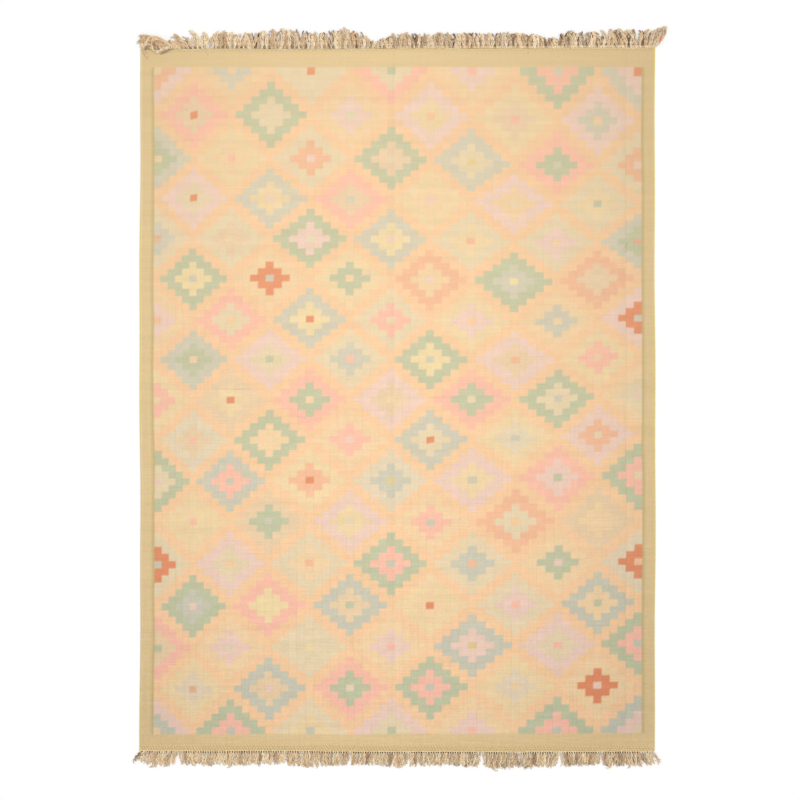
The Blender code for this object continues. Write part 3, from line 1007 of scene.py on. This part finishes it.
Yarn = namedtuple("Yarn", "route radius turn colours")


def draw_out_yarns(yarns):
    """All the yarns of a fringe as closed tubes: their root faces, extruded section by section."""
    bm = bmesh.new()
    paint = bm.verts.layers.float_color.new("yarn_colour")
    number = start_yarns(bm, len(yarns))
    tips = list(bm.faces)
    for n in range(YARN_SECTIONS):
        if n:
            tips = bmesh.ops.extrude_discrete_faces(bm, faces=tips)["faces"]
        for face in tips:
            yarn = yarns[face[number]]
            before, after = yarn.route[max(n - 1, 0)], yarn.route[min(n + 1, YARN_SECTIONS - 1)]
            radius = yarn.radius * (TIP_TAPER if n == YARN_SECTIONS - 1 else 1.0)
            along = (after - before).normalized()
            place_section(face, yarn.route[n], along, radius, yarn.turn * n, paint, yarn.colours[n])
    bmesh.ops.holes_fill(bm, edges=[edge for edge in bm.edges if edge.is_boundary], sides=YARN_SIDES)
    bmesh.ops.recalc_face_normals(bm, faces=bm.faces)
    bm.faces.layers.int.remove(bm.faces.layers.int["yarn_number"])
    return bm


def shade_and_dirt_patch(place, style, drift=DARKER_RIGHT):
    """0 to 1: how dark the fringe's painted shade and dirt are at a place across, and more so towards the
    right by the drift.
    """
    patch = noise.noise(Vector((place / DARK_PATCH_SPACING, 0.0, style.seed)))
    return ease(0.5 + patch + drift * place / WIDTH)


def tone(style, rng):
    tones = [colour for often, colour in YARN_TONES for _ in range(often)]
    return shaded(linear_from_hex(rng.choice(tones)), rng.uniform(1 - style.patchy, 1 + style.patchy))


def shaded_and_dirtied(colour, root, rest):
    """Colours along a yarn: painted shadow at its root, then painted shade and dirt along the rest."""
    root_shade_colour, under_colour = linear_from_hex(ROOT_HOLE_SHADE), linear_from_hex(UNDER_SHADE_AND_DIRT)
    colours = []
    for share in section_shares():
        along = ease(share * ROOT_SHADE_ONSET)
        darkening = blended(root_shade_colour, under_colour, along)
        colours.append(blended(colour, darkening, between(root, rest, along)))
    return colours


def knot_base(side, across):
    """Where the lock at a place across leaves its knot."""
    outwards = 1 if side == "top" else -1
    line = outwards * (LENGTH / 2 + wander(side, across) + KNOT_REACH)
    return Vector((spread_to_sides(across, outwards * LENGTH / 2), line, 0.0))


def laid(route, side, across, raised=0.0):
    """A yarn's middle line, seen from its knot, as points about the middle of the cloth."""
    base = knot_base(side, across)
    outwards = 1 if side == "top" else -1
    route[0].y = -KNOT_REACH - ROOT_DEPTH
    return [base + Vector((point.x, point.y * outwards, point.z + raised)) for point in route]


def mat_yarns(side, style, rng):
    """Loose yarns that fill the fringe between and under its locks, brown with painted shade and dirt."""
    loose = style._replace(**MAT_LAY)
    for place in lock_places(style.mat):
        if min(abs(place - parting) - push for parting, push in PARTINGS[side]) < PARTING_CLEAR:
            continue
        lock = lock_route(side, place, rng.gauss(0, MAT_LEAN), rng.uniform(*MAT_LENGTHS), loose, rng)
        route = laid(mat_yarn(lock, style, rng), side, place)
        patch = shade_and_dirt_patch(place, style)
        # How dark the painted shadow at this yarn's root is
        root = between(*style.root_soil, shade_and_dirt_patch(place, style, style.root_drift))
        # Painted shade and dirt along the rest of the loose yarn
        rest = style.mat_soil * between(*PATCH_DARKNESSES, patch) * rng.uniform(*MAT_DARKNESSES)
        radius = style.yarn * style.mat_width * rng.uniform(*MAT_RADII)
        yield Yarn(route, radius, MAT_TURN, shaded_and_dirtied(tone(style, rng), root, rest))


def lock_yarns(side, place, lock, soil, style, rng, raised=0.0):
    """The yarns of one lock, more or less of one tone."""
    common = tone(style, rng)
    for number in range(style.over):
        route = laid(lock_yarn(lock, number, style, rng), side, place, raised)
        own = blended(common, tone(style, rng), style.mingled)
        # Painted shadow at the root, then painted shade and dirt along the rest
        colours = shaded_and_dirtied(own, LOCK_ROOT_SHADE, soil * rng.uniform(*LOCK_DARKNESSES))
        yield Yarn(route, style.yarn * rng.uniform(*YARN_RADII), LOCK_TURN, colours)


def evenly_spaced(corners):
    """A route of ROUTE_STATIONS points through the given corners."""
    return [point_along(corners, n / (ROUTE_STATIONS - 1)) for n in range(ROUTE_STATIONS)]


def stray_yarn():
    """The dyed yarn beside the thick lock at the top right."""
    shares = [n / (YARN_SECTIONS - 1) for n in range(YARN_SECTIONS)]
    route = [Vector((*point_along(STRAY_YARN, share), STRAY_YARN_HEIGHT)) for share in shares]
    return Yarn(route, STRAY_YARN_RADIUS, STRAY_TURN, [linear_from_hex(STRAY_YARN_COLOUR)] * YARN_SECTIONS)


def build_fringe(side, material):
    style = FRINGE_STYLES[side]
    rng = random.Random(style.seed)
    yarns = list(mat_yarns(side, style, rng))
    places = lock_places(style.locks)
    for place, (lean, share) in zip(places, gathered(places, style, rng)):
        lock = lock_route(side, place, lean, share, style, rng)
        # How dark the lock's painted shade and dirt are
        soil = abs(rng.gauss(0, style.soil)) * between(*PATCH_DARKNESSES, shade_and_dirt_patch(place, style))
        yarns += lock_yarns(side, place, lock, min(soil, DARKEST_SHARE), style, rng)
    if side == "top":
        for placed in PLACED_LOCKS:
            own_style = style._replace(over=placed.yarns, rope=placed.rope)
            lock = evenly_spaced(placed.corners)
            yarns += lock_yarns(side, placed.start, lock, placed.soil, own_style, rng, placed.raised)
        yarns.append(stray_yarn())
    name = f"{side}_fringe_yarns"
    mesh = finished_mesh(name, draw_out_yarns(yarns))
    return add_piece(name, mesh, [material], "warp_fringe", f"fringe_{side}")


def twine_points(side, row, strand):
    """One strand of a twined row, winding about the row's middle line."""
    outwards = 1 if side == "top" else -1
    count = round(WIDTH / TWINE_PITCH * TWINE_POINTS_A_PITCH)
    for n in range(count + 1):
        x = between(-WIDTH / 2 + TWINE_INSET, WIDTH / 2 - TWINE_INSET, n / count)
        angle = math.tau * (n / TWINE_POINTS_A_PITCH + strand / 2 + row.shift)
        stray = noise.noise(Vector((x / TWINE_STRAY_LENGTH, row.inset, outwards))) * 2 * row.stray
        y = outwards * (LENGTH / 2 + wander(side, x) - row.inset + stray) + TWINE_SWING * math.cos(angle)
        yield spread_to_sides(x, outwards * LENGTH / 2), y, TWINE_HEIGHT + TWINE_SWING * math.sin(angle)


def build_twining(side, materials):
    """The rows that bind the warps at an end of the cloth, each of two strands twisted together."""
    name = f"{side}_twined_rows"
    curve = bpy.data.curves.new(name, "CURVE")
    curve.dimensions = "3D"
    curve.bevel_depth = TWINE_RADIUS * MM
    curve.bevel_resolution = 0
    curve.use_fill_caps = True
    for material in materials:
        curve.materials.append(material)
    for row in TWINED_ROWS[side]:
        for strand in (0, 1):
            points = list(twine_points(side, row, strand))
            spline = curve.splines.new("POLY")
            spline.points.add(len(points) - 1)
            spline.material_index = row.colours[strand]
            for spot, point in zip(spline.points, points):
                spot.co = (*((Vector(point) + CLOTH_CENTRE) * MM), 1.0)
    holder = linked(name, curve)
    mesh = bpy.data.meshes.new_from_object(holder.evaluated_get(bpy.context.evaluated_depsgraph_get()))
    bpy.data.objects.remove(holder)
    mesh.name = name
    mesh.shade_smooth()
    # The mesh has the curve's materials, so that none is added
    return add_piece(name, mesh, [], "warp_fringe", f"fringe_{side}")


def white_floor():
    """Matt white painted studio floor."""
    material, _, shader = new_material("matt_white_studio_floor")
    shader.inputs["Base Color"].default_value = linear_from_hex("#FBFBFB")
    shader.inputs["Roughness"].default_value = 0.95
    shader.inputs["Specular IOR Level"].default_value = 0.1
    return material


def build_stage():
    bm = bmesh.new()
    bmesh.ops.create_grid(bm, x_segments=1, y_segments=1, size=FLOOR_HALF_SIZE)
    mesh = bpy.data.meshes.new("studio_floor")
    bm.to_mesh(mesh)
    bm.free()
    mesh.materials.append(white_floor())
    floor = linked("studio_floor", mesh)
    floor.location.z = -FLOOR_DROP * MM


def build_lights():
    """An even white room, and one broad soft light from the right."""
    world = bpy.data.worlds.new("white_room")
    world.use_nodes = True
    background = world.node_tree.nodes["Background"]
    background.inputs["Color"].default_value = (1.0, 1.0, 1.0, 1.0)
    background.inputs["Strength"].default_value = 0.78
    bpy.context.scene.world = world
    light = bpy.data.lights.new("soft_key", "SUN")
    light.energy = 1.15
    light.angle = math.radians(25)
    linked("soft_key", light).rotation_euler = (math.radians(-12), math.radians(42), 0.0)


def build_camera():
    """Straight above, so that the rug lies in the 800 by 800 frame as in the photo."""
    lens = bpy.data.cameras.new("above")
    lens.lens = 85
    lens.sensor_width = 36
    lens.clip_end = 100
    camera = linked("above", lens)
    frame_width = PHOTO_SIZE * PHOTO_PIXEL * MM
    height = frame_width * lens.lens / lens.sensor_width
    camera.location = (PHOTO_MIDDLE[0] * MM, PHOTO_MIDDLE[1] * MM, height)
    bpy.context.scene.camera = camera
    bpy.context.scene.view_settings.view_transform = "Standard"


def main():
    noise.seed_set(WEAVE_SEED)
    build_camera()
    build_stage()
    build_lights()
    warp_ends = plied_cotton("plied_cotton_warp_ends")
    cloth = build_cloth(woven_cotton())
    fringes = [build_fringe(side, warp_ends) for side in ("top", "bottom")]
    twines = [plied_cotton(name, colour) for name, colour in TWINE_YARNS]
    twining = [build_twining(side, twines) for side in ("top", "bottom")]


main()
